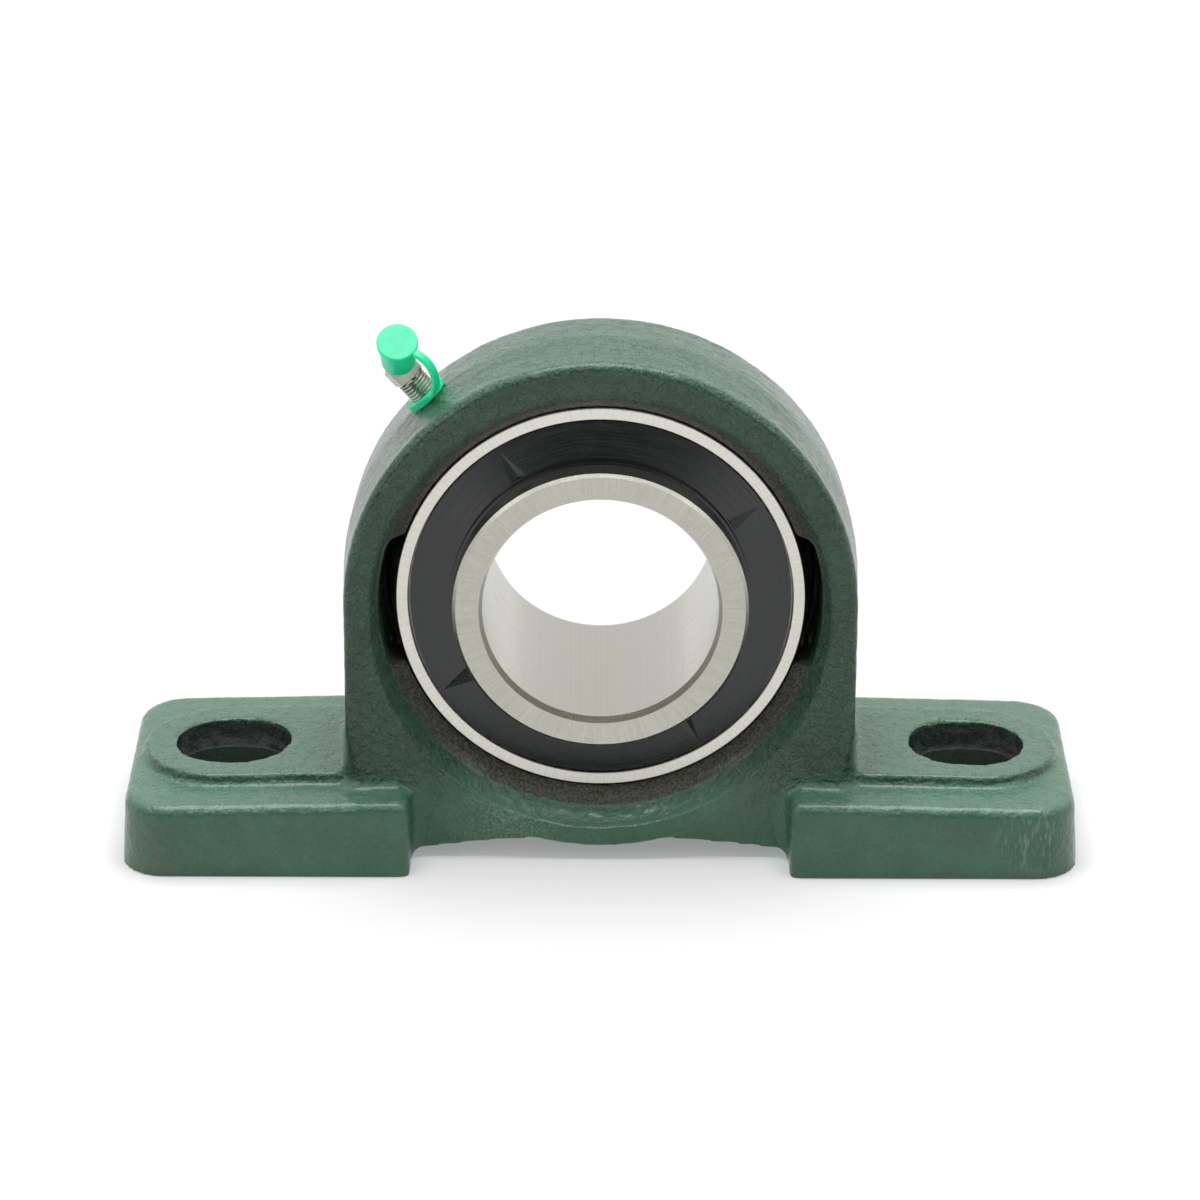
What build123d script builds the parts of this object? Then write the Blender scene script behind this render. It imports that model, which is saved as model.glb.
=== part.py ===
"""Self-aligning pillow block bearing: a cast housing with a spherical seat and a wide inner ring insert.

Units are millimetres. The shaft axis is Y and the origin is the centre of the spherical seat, so the
mounting plane lies below it, at z = base_z. -Y is the front, the narrow side of the inner ring; the
set screws are on the wide side, at +Y.
"""

import os
from math import cos, radians, sin, sqrt, tan

from build123d import *

# ---- Driving dimensions: insert bearing ----
shaft_diameter = 50.0
inner_wall = 6.3  # bore to the outside of the inner ring
inner_shoulder = 3.7  # outside of the inner ring to the pitch circle of the balls
outer_shoulder = 3.9  # pitch circle to the inside of the outer ring
recess_step = 1.9  # how far the recesses for the seals are cut back from there
outer_wall = 4.2  # recess to the spherical outside
narrow_side = 19.0  # seat centre to the narrow face of the inner ring
ball_diameter = 12.7
ball_count = 10
ball_clearance = 0.15  # between ball and raceway
cage_gap = 0.9  # cage to seal, along the shaft
recess_depth = 3.6
ring_chamfer = 0.5
inner_chamfer = 0.7
bore_lead_depth = 2.0  # long lead-in chamfer at each end of the bore
bore_lead_height = 0.7
oil_hole_diameter = 2.5
oil_hole_offset = 6.6  # from the ring's middle, towards the wide side

# ---- Driving dimensions: housing ----
arch_wall = 6.0  # mouth of the seat to the outside of the arch, at the middle plane
barrel_clearance = 2.0  # barrel to the mounting plane
bolt_spacing = 159.0
slot_width = 21.0
slot_length = 24.3
pad_wall = 7.5  # slot to the side of the pad
pad_margin = 3.35  # pad to the end of the foot
foot_margin = 12.0  # pad to the front and to the back of the foot
foot_gap = 80.6  # clear length between the two feet
foot_height = 15.7  # at the outer end
foot_slope = 1.3  # degrees: tops of foot and pad fall away outwards
foot_draft = 3.0  # degrees: front, back and end of the foot lean inwards
foot_corner = 10.0
crown_draft = 2.8  # degrees: the arch narrows from its middle plane to both faces
body_width = 37.0  # at shaft height
face_draft = 2.9  # degrees: both faces of the body lean inwards to the top
arch_round = 4.4
web_setback = 1.4  # the web between the feet lies this far behind the barrel face
barrel_round = 1.2  # lower edge of the barrel
web_clearance = 2.1  # under the web, beside the feet
web_rise = 2.8  # how much higher the underside of the web is in the middle
web_corner = 2.0  # underside of the web to the end of the foot
web_round = 3.0  # face of the web to the end of the foot
core_wall = 6.5  # side walls of the hollow feet
core_roof = 7.6  # wall left under the pad
core_corner = 5.0
core_draft = 3.0  # degrees
cast_round = 2.6
pad_round = 0.8  # upper edge of the pad
pad_side = 0.7  # straight side of the pad
pad_hollow = 0.9  # foot of the pad
cove_radius = 2.5  # where the body rises from the foot

# ---- Driving dimensions: mouth of the seat ----
seat_clearance = 0.05
seat_margin = 0.2  # seat narrower than the outer ring, at each face
lead_height = 1.8  # machined lead cone: radius gained beyond the seat's sphere
lead_depth = 3.6
flare_height = 2.4  # cast flare beyond it
flare_depth = 3.6
mouth_draft = 4.0  # degrees, beyond the flare
loading_slot_height = 29.0
loading_slot_end = 1.0  # behind the middle plane
groove_front = -2.6  # grease groove in the seat
groove_back = 8.5
groove_depth = 1.0

# ---- Driving dimensions: seals, slingers and cage ----
seal_sheet = 0.4
seal_rubber = 0.7
seal_fit = 0.03
seal_flange = 1.4
seal_lip = 2.7  # rubber between the inner ring and the core
lip_clearance = 0.05
slinger_sheet = 0.6
slinger_recess = 0.5  # slinger face behind the outer ring face
slinger_gap = 0.45  # radial gap to the outer ring
collar_height = 1.8  # collar of the slinger, turned outwards
collar_clearance = 0.02
dent_count = 4
dent_width = 3.8
dent_depth = 0.95
dent_angle = 32.5
dent_root_gap = 0.3  # from the collar to the root of a dent
dent_tip_gap = 0.7  # from the tip of a dent to the rim
cage_sheet = 0.9
cage_width = 4.2  # radial width of the pressed strip
pocket_clearance = 0.25
rivet_diameter = 1.8
rivet_fit = 0.02
rivet_head_diameter = 2.8
rivet_head_height = 0.6

# ---- Driving dimensions: set screws ----
set_screw_diameter = 10.0
set_screw_length = 9.0
set_screw_offset = 10.6  # from the outer ring's face to the screw axis
set_screw_margin = 10.0  # from there to the wide face of the inner ring
set_screw_spread = 120.0  # degrees between the two screws
set_screw_recess = 0.4  # screw tip to bore surface
set_screw_chamfer = 0.6
socket_width = 5.0  # across the flats of the hexagon socket
socket_depth = 4.5
cup_diameter = 5.0
thread_clearance = 0.03

# ---- Driving dimensions: grease nipple and cap ----
nipple_angle = 131.5  # degrees round the arch from +X
nipple_y = 0.0  # over the grease groove
grease_hole = 3.0
nipple_thread = 6.0
nipple_thread_length = 5.5
nipple_gap = 0.5  # below the thread, to the bottom of the tapped hole
nipple_neck_height = 5.4  # arch to the hexagon
nipple_hex = 6.2
nipple_hex_height = 4.6
nipple_hex_chamfer = 0.5
elbow_height = 9.0  # arch to the bend of the nipple
head_turn = 40.0  # degrees: lean of the nipple's head from upright, towards the front
branch_diameter = 5.0
branch_length = 4.2
neck_diameter = 4.2
neck_step = 0.4
neck_length = 5.8  # bend to the end of the neck
head_diameter = 6.1
head_shoulder = 6.8
head_edge = 7.4
head_length = 9.4
tip_diameter = 3.8
mouth_diameter = 1.7
mouth_length = 0.6
channel_diameter = 1.6
cavity_diameter = 2.6
check_ball_diameter = 2.2
spring_wire = 0.3
spring_turns = 4
spring_floor = 3.0  # bend to the floor of the spring's bore
spring_gap = 0.03
cap_start = 2.4  # bend to the open end of the cap
cap_length = 8.0
cap_lid_diameter = 8.7
cap_lid_height = 1.2
cap_mouth_diameter = 7.2
cap_body_diameter = 7.9
cap_clearance = 0.1
cap_headroom = 0.2
cap_round = 0.3
strap_ring_diameter = 9.4
strap_ring_height = 1.3
strap_lift = 0.02
strap_turn = 66.0  # degrees: where the band leaves the ring, towards the front
lid_turn = 32.0  # degrees: where the band meets the lid, towards the front
strap_root_bow = 0.9
strap_lid_bow = 1.75
strap_width = 1.9
strap_thickness = 1.0
strap_round = 0.3
strap_clearance = 0.1

os.makedirs("parts", exist_ok=True)


def save(part, name):
    """Label a finished piece and write its STEP file."""
    part.label = name
    export_step(part, f"parts/{name}.step")


def radial_direction(angle):
    """Unit vector at an angle round the shaft axis, from +X towards +Z."""
    return Vector(cos(radians(angle)), 0, sin(radians(angle)))


def radial_plane(angle, radius, y):
    """Plane that faces outwards at a radius: its local x runs along the shaft, its y round it."""
    outward = radial_direction(angle)
    return Plane(outward * radius + Vector(0, y, 0), x_dir=(0, 1, 0), z_dir=outward)


def section_plane(origin, axis):
    """Plane that holds an axis: its local x is the distance from the axis, its y runs along it."""
    across = Plane(origin, z_dir=axis).x_dir
    return Plane(origin, x_dir=across, z_dir=across.cross(axis))


# ---- Derived sizes of the insert ----
bore_radius = shaft_diameter / 2
inner_radius = bore_radius + inner_wall
pitch_radius = inner_radius + inner_shoulder
shoulder_radius = pitch_radius + outer_shoulder
recess_radius = shoulder_radius + recess_step
insert_radius = recess_radius + outer_wall
ball_radius = ball_diameter / 2
raceway_radius = ball_radius + ball_clearance
pocket_radius = ball_radius + pocket_clearance
recess_floor = pocket_radius + cage_sheet + cage_gap
half_outer = recess_floor + recess_depth
face_radius = sqrt(insert_radius**2 - half_outer**2)
screw_y = half_outer + set_screw_offset
front_y = -narrow_side
back_y = screw_y + set_screw_margin
screw_angles = (90 - set_screw_spread / 2, 90 + set_screw_spread / 2)
ball_angles = [90 + 360 / ball_count * number for number in range(ball_count)]

# ---- Outer ring ----
with BuildPart() as outer_ring:
    with BuildSketch(Plane.XY):
        with BuildLine():
            RadiusArc((face_radius, -half_outer), (face_radius, half_outer), -insert_radius)
            Polyline(
                (face_radius, half_outer),
                (recess_radius, half_outer),
                (recess_radius, recess_floor),
                (shoulder_radius, recess_floor),
                (shoulder_radius, -recess_floor),
                (recess_radius, -recess_floor),
                (recess_radius, -half_outer),
                (face_radius, -half_outer),
            )
        make_face()
        with Locations((pitch_radius, 0)):
            Circle(raceway_radius, mode=Mode.SUBTRACT)
    revolve(axis=Axis.Y)
    rims = outer_ring.edges().filter_by(lambda edge: abs(abs(edge.center().Y) - half_outer) < 0.01)
    chamfer(rims, ring_chamfer)
    with Locations((0, oil_hole_offset, 0)):
        Cylinder(oil_hole_diameter / 2, 2 * insert_radius, mode=Mode.SUBTRACT)
save(outer_ring.part, "outer_ring")

# ---- Inner ring: ground bore with long lead-in chamfers, raceway, two tapped holes ----
with BuildPart() as inner_ring:
    with BuildSketch(Plane.XY):
        with BuildLine():
            Polyline(
                (bore_radius + bore_lead_height, front_y),
                (inner_radius - inner_chamfer, front_y),
                (inner_radius, front_y + inner_chamfer),
                (inner_radius, back_y - inner_chamfer),
                (inner_radius - inner_chamfer, back_y),
                (bore_radius + bore_lead_height, back_y),
                (bore_radius, back_y - bore_lead_depth),
                (bore_radius, front_y + bore_lead_depth),
                close=True,
            )
        make_face()
        with Locations((pitch_radius, 0)):
            Circle(raceway_radius, mode=Mode.SUBTRACT)
    revolve(axis=Axis.Y)
    for angle in screw_angles:
        with Locations(radial_plane(angle, 0, screw_y)):
            Cylinder(
                set_screw_diameter / 2,
                2 * inner_radius,
                align=(Align.CENTER, Align.CENTER, Align.MIN),
                mode=Mode.SUBTRACT,
            )
save(inner_ring.part, "inner_ring")

# ---- Balls ----
for number, angle in enumerate(ball_angles, start=1):
    with BuildPart(radial_plane(angle, pitch_radius, 0)) as ball:
        Sphere(ball_radius)
    save(ball.part, f"ball_{number:02d}")

# ---- Cage: two pressed strips, riveted face to face between the balls ----
cage_inner = pitch_radius - cage_width / 2
cage_outer = pitch_radius + cage_width / 2
rivet_angle = ball_angles[0] + 180 / ball_count

for side, name in ((-1, "cage_half_front"), (1, "cage_half_back")):
    with BuildPart() as cage_half:
        with Locations(Plane.XZ):
            with PolarLocations(pitch_radius, ball_count, start_angle=ball_angles[0]):
                Sphere(pocket_radius + cage_sheet)
        with BuildSketch(Plane.XZ):
            Circle(cage_outer)
            Circle(cage_inner, mode=Mode.SUBTRACT)
        extrude(amount=-side * insert_radius, mode=Mode.INTERSECT)
        with BuildSketch(Plane.XZ):
            Circle(cage_outer)
            Circle(cage_inner, mode=Mode.SUBTRACT)
        extrude(amount=-side * cage_sheet)
        with Locations(Plane.XZ):
            with PolarLocations(pitch_radius, ball_count, start_angle=ball_angles[0]):
                Sphere(pocket_radius, mode=Mode.SUBTRACT)
            with PolarLocations(pitch_radius, ball_count, start_angle=rivet_angle):
                Cylinder(rivet_diameter / 2 + rivet_fit, insert_radius, mode=Mode.SUBTRACT)
    save(cage_half.part, name)

with BuildPart() as cage_rivets:
    with Locations(Plane.XZ):
        with PolarLocations(pitch_radius, ball_count, start_angle=rivet_angle):
            Cylinder(rivet_diameter / 2, 2 * cage_sheet)
    for side in (-1, 1):
        with Locations(Plane.XZ.offset(side * (cage_sheet + rivet_head_height / 2))):
            with PolarLocations(pitch_radius, ball_count, start_angle=rivet_angle):
                Cylinder(rivet_head_diameter / 2, rivet_head_height)
    heads = cage_rivets.edges().filter_by(
        lambda edge: abs(abs(edge.center().Y) - cage_sheet - rivet_head_height) < 0.01
    )
    fillet(heads, rivet_head_height * 0.8)
save(cage_rivets.part, "cage_rivets")

# ---- Seals: a flanged steel core with rubber moulded on its outer side ----
core_outer = recess_radius - seal_fit
core_face = recess_floor + seal_sheet
rubber_face = core_face + seal_rubber
lip_radius = inner_radius + lip_clearance
core_hole = inner_radius + seal_lip

for side, ending in ((-1, "front"), (1, "back")):
    with BuildPart() as seal_core:
        with BuildSketch(Plane.XY):
            with BuildLine():
                Polyline(
                    (core_hole, side * recess_floor),
                    (core_outer, side * recess_floor),
                    (core_outer, side * (core_face + seal_flange)),
                    (core_outer - seal_sheet, side * (core_face + seal_flange)),
                    (core_outer - seal_sheet, side * core_face),
                    (core_hole, side * core_face),
                    close=True,
                )
            make_face()
        revolve(axis=Axis.Y)
    save(seal_core.part, f"seal_core_{ending}")

    with BuildPart() as seal_rubber_ring:
        with BuildSketch(Plane.XY):
            with BuildLine():
                Polyline(
                    (core_outer - seal_sheet, side * core_face),
                    (core_outer - seal_sheet, side * rubber_face),
                    (core_hole, side * rubber_face),
                    (lip_radius, side * (rubber_face + seal_sheet)),
                    (lip_radius, side * rubber_face),
                    (lip_radius + seal_rubber, side * recess_floor),
                    (core_hole - seal_fit, side * recess_floor),
                    (core_hole - seal_fit, side * core_face),
                    close=True,
                )
            make_face()
        revolve(axis=Axis.Y)
    save(seal_rubber_ring.part, f"seal_rubber_{ending}")

# ---- Slingers: pressed shrouds on the inner ring, with V dents that run out from the collar ----
slinger_radius = recess_radius - slinger_gap
slinger_face = half_outer - slinger_recess
collar_radius = inner_radius + collar_clearance
dent_root = collar_radius + slinger_sheet + dent_root_gap
dent_tip = slinger_radius - dent_tip_gap

for side, name in ((-1, "slinger_front"), (1, "slinger_back")):
    with BuildPart() as slinger:
        with BuildSketch(Plane.XY):
            with BuildLine():
                Polyline(
                    (collar_radius, side * (slinger_face - slinger_sheet)),
                    (slinger_radius, side * (slinger_face - slinger_sheet)),
                    (slinger_radius, side * slinger_face),
                    (collar_radius + slinger_sheet, side * slinger_face),
                    (collar_radius + slinger_sheet, side * (slinger_face + collar_height)),
                    (collar_radius, side * (slinger_face + collar_height)),
                    close=True,
                )
            make_face()
        revolve(axis=Axis.Y)
        for level, mode in ((slinger_face - slinger_sheet, Mode.ADD), (slinger_face, Mode.SUBTRACT)):
            for number in range(dent_count):
                angle = dent_angle + 360 / dent_count * number
                root_plane = radial_plane(angle, dent_root, side * level)
                tip = radial_plane(angle, dent_tip, side * level).origin
                with BuildSketch(root_plane, mode=Mode.PRIVATE) as root:
                    with BuildLine():
                        Polyline(
                            (0, -dent_width / 2),
                            (0, dent_width / 2),
                            (-side * dent_depth, 0),
                            close=True,
                        )
                    make_face()
                loft(sections=[root.sketch.face(), Vertex(tip)], mode=mode)
    save(slinger.part, name)

# ---- Set screws: hexagon socket, cup point ----
screw_foot = bore_radius + set_screw_recess
screw_radius = set_screw_diameter / 2 - thread_clearance

for number, angle in enumerate(screw_angles, start=1):
    foot_plane = radial_plane(angle, screw_foot, screw_y)
    top_plane = radial_plane(angle, screw_foot + set_screw_length, screw_y)
    with BuildPart(foot_plane) as set_screw:
        Cylinder(screw_radius, set_screw_length, align=(Align.CENTER, Align.CENTER, Align.MIN))
        chamfer(set_screw.edges().filter_by(GeomType.CIRCLE), set_screw_chamfer)
        Cone(
            cup_diameter / 2,
            cup_diameter / 4,
            cup_diameter / 4,
            align=(Align.CENTER, Align.CENTER, Align.MIN),
            mode=Mode.SUBTRACT,
        )
        with BuildSketch(top_plane):
            RegularPolygon(socket_width / 2, 6, major_radius=False)
        extrude(amount=-socket_depth, mode=Mode.SUBTRACT)
    save(set_screw.part, f"set_screw_{number}")

# ---- Derived sizes of the housing ----
seat_radius = insert_radius + seat_clearance
seat_half_width = half_outer - seat_margin
machined_radius = insert_radius + lead_height
machined_depth = seat_half_width + lead_depth
mouth_radius = machined_radius + flare_height
mouth_depth = machined_depth + flare_depth
arch_radius = mouth_radius + arch_wall
base_z = -(arch_radius + barrel_clearance)
face_lean = tan(radians(face_draft))
crown_lean = tan(radians(crown_draft))
flank_foot = base_z + foot_height
foot_inner = foot_gap / 2
slot_x = bolt_spacing / 2
slot_reach = (slot_length - slot_width) / 2
pad_width = slot_width + 2 * pad_wall
foot_end = slot_reach + pad_width / 2 + pad_margin
foot_outer = slot_x + foot_end
base_width = pad_width + 2 * foot_margin
slope = tan(radians(foot_slope))
foot_lean = tan(radians(foot_draft))
foot_top = foot_height + slope * foot_end
pad_height = foot_top + pad_hollow + pad_side + pad_round
web_half = body_width / 2 + face_lean * arch_radius - web_setback
face_plane = Plane((0, -body_width / 2, 0), x_dir=(1, 0, 0), z_dir=(0, -1, face_lean))

# ---- Web of the housing: joins the feet, its underside rises to the middle ----
web_edge = foot_inner - web_corner
web_low = base_z + web_clearance

with BuildPart() as web:
    with BuildSketch(Plane.XZ):
        with BuildLine():
            ThreePointArc((-web_edge, web_low), (0, web_low + web_rise), (web_edge, web_low))
            RadiusArc((web_edge, web_low), (foot_inner, web_low - web_corner), web_corner)
            Polyline(
                (foot_inner, web_low - web_corner),
                (foot_inner, flank_foot),
                (-foot_inner, flank_foot),
                (-foot_inner, web_low - web_corner),
            )
            RadiusArc((-foot_inner, web_low - web_corner), (-web_edge, web_low), web_corner)
        make_face()
    extrude(amount=base_width / 2, both=True)
    with BuildSketch(Plane.XY.offset(base_z)):
        with GridLocations(0, 2 * web_half + base_width, 1, 2):
            RectangleRounded(foot_gap, base_width, web_round)
    extrude(amount=foot_height, mode=Mode.SUBTRACT)

# ---- Foot of the housing: solid block with its raised pad; the bolt slot and the core are cut later ----
def at_height(edge, height):
    """True where an edge follows the sloped top of the foot at a height, given at the bolt centre."""
    fall = slope * (edge.center().X - slot_x)
    return abs(edge.center().Z + fall - base_z - height) < 0.15


inner_top = base_z + foot_height + slope * (foot_outer - foot_inner)
top_plane = Plane((slot_x, 0, base_z + foot_top), x_dir=(1, 0, -slope), z_dir=(slope, 0, 1))
pad_plane = Plane((slot_x, 0, base_z + pad_height), x_dir=(1, 0, -slope), z_dir=(slope, 0, 1))

with BuildPart() as foot:
    with BuildSketch(Plane.XZ):
        Polygon(
            (foot_inner, base_z),
            (foot_outer, base_z),
            (foot_outer, base_z + foot_height),
            (foot_inner, inner_top),
            align=None,
        )
    extrude(amount=base_width / 2, both=True)
    for outward in (Vector(0, -1, 0), Vector(0, 1, 0), Vector(1, 0, 0)):
        reach = foot_outer if outward.X else base_width / 2
        wall = Plane(outward * reach + Vector(0, 0, base_z), z_dir=outward + Vector(0, 0, foot_lean))
        split(bisect_by=wall, keep=Keep.BOTTOM)
    uprights = foot.edges().filter_by(lambda edge: abs((edge % 0.5).Z) > 0.9).sort_by(Axis.X)
    fillet(uprights[-2:], foot_corner)
    fillet(uprights[:2], cast_round)
    with BuildSketch(pad_plane):
        with Locations((slot_reach, 0)):
            Circle(pad_width / 2)
            Rectangle(slot_x - foot_inner - cast_round, pad_width, align=(Align.MAX, Align.CENTER))
    extrude(amount=-pad_height / 2)
    top_edges = foot.edges().filter_by(lambda edge: at_height(edge, foot_top))
    hollows = top_edges.filter_by(lambda edge: abs(edge.center().Y) < pad_width / 2 + 0.1)
    hollows = hollows.sort_by(Axis.X)[1:-1]
    rims = top_edges - hollows
    fillet(rims, cast_round)
    fillet(hollows, pad_hollow)
    pad_rims = foot.edges().filter_by(lambda edge: at_height(edge, pad_height))
    fillet(pad_rims, pad_round)

# ---- Coves of the housing: concave rounds where the body rises from the foot and from its pad ----
def body_cove(level, half_width):
    """Sheet under a sloped top of the foot with the root of the body on it, joined by a concave round."""
    low = level.origin.Z + slope * (slot_x - arch_radius)
    half_depth = body_width / 2 - face_lean * (low + cove_radius)
    start = foot_inner + cast_round - slot_x
    middle = arch_radius - slot_x
    corner = middle - half_depth * crown_lean
    with BuildPart() as root:
        with BuildSketch(level):
            with Locations((start, 0)):
                Rectangle(
                    middle + 2 * cove_radius - start,
                    2 * (half_depth + 1.2 * cove_radius),
                    align=(Align.MIN, Align.CENTER),
                )
        extrude(amount=-cove_radius / 2)
        with BuildSketch(level) as outline:
            with BuildLine():
                Polyline(
                    (start, -half_depth),
                    (corner, -half_depth),
                    (middle, 0),
                    (corner, half_depth),
                    (start, half_depth),
                    close=True,
                )
            make_face()
            fillet(outline.vertices().sort_by(Axis.X)[2:4], arch_round)
        extrude(amount=2 * cove_radius)
        roots = root.edges().filter_by(
            lambda edge: abs((edge.center() - level.origin).dot(level.z_dir)) < 0.05
            and foot_inner + cast_round + 0.1 < edge.center().X < arch_radius
            and abs(edge.center().Y) < half_depth + 0.1
        )
        fillet(roots, cove_radius)
        with BuildSketch(level):
            Rectangle(2 * foot_outer, 2 * half_width)
        extrude(amount=2 * cove_radius, both=True, mode=Mode.INTERSECT)
    return root.part


coves = (
    body_cove(top_plane, base_width / 2),
    body_cove(pad_plane, pad_width / 2 - pad_round),
)

# ---- Housing ----
with BuildPart() as housing:
    # Body: barrel and flanks, front half, leaning faces, then mirrored
    for depth in (0, body_width):
        radius = arch_radius - depth * crown_lean
        flank_x = sqrt(radius**2 - flank_foot**2)
        with BuildSketch(Plane.XZ.offset(depth)):
            with BuildLine():
                Line((-radius, flank_foot), (-radius, 0))
                ThreePointArc((-radius, 0), (0, radius), (radius, 0))
                Polyline((radius, 0), (radius, flank_foot), (flank_x, flank_foot))
                ThreePointArc((flank_x, flank_foot), (0, -radius), (-flank_x, flank_foot))
                Line((-flank_x, flank_foot), (-radius, flank_foot))
            make_face()
    loft(ruled=True)
    split(bisect_by=face_plane, keep=Keep.BOTTOM)
    rim = housing.faces().sort_by(Axis.Y)[0].edges()
    fillet(rim.filter_by(lambda edge: edge.center().Z > flank_foot + 1), arch_round)
    lower_rim = housing.edges().filter_by(
        lambda edge: edge.center().Z < -arch_radius * 0.9 and edge.center().Y < -body_width / 2
    )
    fillet(lower_rim, barrel_round)
    mirror(about=Plane.XZ)
    add(web.part)
    add(foot.part)
    add(mirror(foot.part, about=Plane.YZ, mode=Mode.PRIVATE))
    for cove in coves:
        add(cove)
        add(mirror(cove, about=Plane.YZ, mode=Mode.PRIVATE))

    # Cores under the feet and the bolt slots through their roofs
    core_length = foot_outer - foot_inner - 2 * core_wall
    core_width = base_width - 2 * core_wall
    core_height = pad_height - core_roof
    with BuildSketch(Plane.XY.offset(base_z)):
        with GridLocations(foot_outer + foot_inner, 0, 2, 1):
            RectangleRounded(core_length, core_width, core_corner)
    extrude(amount=core_height, taper=core_draft, mode=Mode.SUBTRACT)
    with BuildSketch(Plane.XY.offset(base_z)):
        with GridLocations(bolt_spacing, 0, 2, 1):
            SlotOverall(slot_length, slot_width)
    extrude(amount=pad_height + cast_round, mode=Mode.SUBTRACT)

    # Opening: ground spherical seat, machined lead cones, cast flares to both faces
    seat_edge = sqrt(seat_radius**2 - seat_half_width**2)
    flare_end = mouth_radius + (base_width / 2 - mouth_depth) * tan(radians(mouth_draft))
    with BuildSketch(Plane.XY):
        with BuildLine():
            RadiusArc((seat_edge, -seat_half_width), (seat_edge, seat_half_width), -seat_radius)
            Polyline(
                (seat_edge, seat_half_width),
                (machined_radius, machined_depth),
                (mouth_radius, mouth_depth),
                (flare_end, base_width / 2),
                (0, base_width / 2),
                (0, -base_width / 2),
                (flare_end, -base_width / 2),
                (mouth_radius, -mouth_depth),
                (machined_radius, -machined_depth),
                (seat_edge, -seat_half_width),
            )
        make_face()
    revolve(axis=Axis.Y, mode=Mode.SUBTRACT)

    # Grease groove in the seat
    with BuildSketch(Plane.XY):
        with Locations((seat_radius, (groove_front + groove_back) / 2)):
            Rectangle(2 * groove_depth, groove_back - groove_front)
    revolve(axis=Axis.Y, mode=Mode.SUBTRACT)

    # Loading slots on the front, through which the insert is turned into its seat
    with BuildSketch(Plane.XZ.offset(-loading_slot_end)):
        Circle(machined_radius)
        Rectangle(2 * machined_radius, loading_slot_height, mode=Mode.INTERSECT)
    extrude(amount=base_width / 2, mode=Mode.SUBTRACT)

    # Grease hole: tapped from the arch, then drilled through to the groove
    with Locations(radial_plane(nipple_angle, arch_radius - nipple_thread_length - nipple_gap, nipple_y)):
        Cylinder(
            nipple_thread / 2,
            insert_radius,
            align=(Align.CENTER, Align.CENTER, Align.MIN),
            mode=Mode.SUBTRACT,
        )
    with Locations(radial_plane(nipple_angle, insert_radius - groove_depth, nipple_y)):
        Cylinder(
            grease_hole / 2,
            insert_radius,
            align=(Align.CENTER, Align.CENTER, Align.MIN),
            mode=Mode.SUBTRACT,
        )
save(housing.part, "housing")

# ---- Derived sizes of the grease nipple and its cap ----
stem_axis = radial_direction(nipple_angle)
stem_foot = stem_axis * arch_radius + Vector(0, nipple_y, 0)
head_axis = Vector(0, -sin(radians(head_turn)), cos(radians(head_turn)))
elbow = stem_foot + stem_axis * elbow_height
stem_section = section_plane(stem_foot, stem_axis)
head_section = section_plane(elbow, head_axis)
cavity_top = head_length - mouth_length
check_ball_radius = check_ball_diameter / 2
seat_drop = sqrt(check_ball_radius**2 - (mouth_diameter / 2) ** 2)
check_ball_height = cavity_top - seat_drop - spring_gap
spring_radius = (cavity_diameter - spring_wire) / 2 - spring_gap
spring_length = check_ball_height - check_ball_radius - spring_floor - spring_wire

# ---- Grease nipple: hexagon body screwed into the arch, its head bent towards the front ----
with BuildPart() as grease_nipple:
    with BuildSketch(Plane(stem_foot + stem_axis * nipple_neck_height, z_dir=stem_axis)):
        RegularPolygon(nipple_hex / 2, 6, major_radius=False)
    extrude(amount=nipple_hex_height)
    ends = grease_nipple.faces().filter_by(lambda face: abs(face.normal_at().dot(stem_axis)) > 0.99)
    chamfer(ends.edges(), nipple_hex_chamfer)
    with BuildSketch(stem_section):
        with Locations((0, -nipple_thread_length)):
            Rectangle(
                nipple_thread / 2 - thread_clearance,
                nipple_thread_length + nipple_neck_height + nipple_hex_chamfer,
                align=(Align.MIN, Align.MIN),
            )
    revolve(axis=Axis(stem_foot, stem_axis))
    with BuildSketch(head_section):
        with BuildLine():
            Polyline(
                (0, 0),
                (branch_diameter / 2, 0),
                (branch_diameter / 2, branch_length),
                (neck_diameter / 2, branch_length + neck_step),
                (neck_diameter / 2, neck_length),
                (head_diameter / 2, head_shoulder),
                (head_diameter / 2, head_edge),
                (tip_diameter / 2, head_length),
                (0, head_length),
                close=True,
            )
        make_face()
    revolve(axis=Axis(elbow, head_axis))
    with BuildSketch(head_section):
        with BuildLine():
            Polyline(
                (0, 0),
                (channel_diameter / 2, 0),
                (channel_diameter / 2, spring_floor),
                (cavity_diameter / 2, spring_floor),
                (cavity_diameter / 2, cavity_top),
                (mouth_diameter / 2, cavity_top),
                (mouth_diameter / 2, head_length),
                (0, head_length),
                close=True,
            )
        make_face()
    revolve(axis=Axis(elbow, head_axis), mode=Mode.SUBTRACT)
    with BuildSketch(stem_section):
        with Locations((0, -nipple_thread_length)):
            Rectangle(
                channel_diameter / 2,
                nipple_thread_length + elbow_height,
                align=(Align.MIN, Align.MIN),
            )
    revolve(axis=Axis(stem_foot, stem_axis), mode=Mode.SUBTRACT)
save(grease_nipple.part, "grease_nipple")

# ---- Check ball and its spring, inside the head ----
with BuildPart(Plane(elbow + head_axis * check_ball_height, z_dir=head_axis)) as nipple_ball:
    Sphere(check_ball_radius)
save(nipple_ball.part, "nipple_ball")

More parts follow.
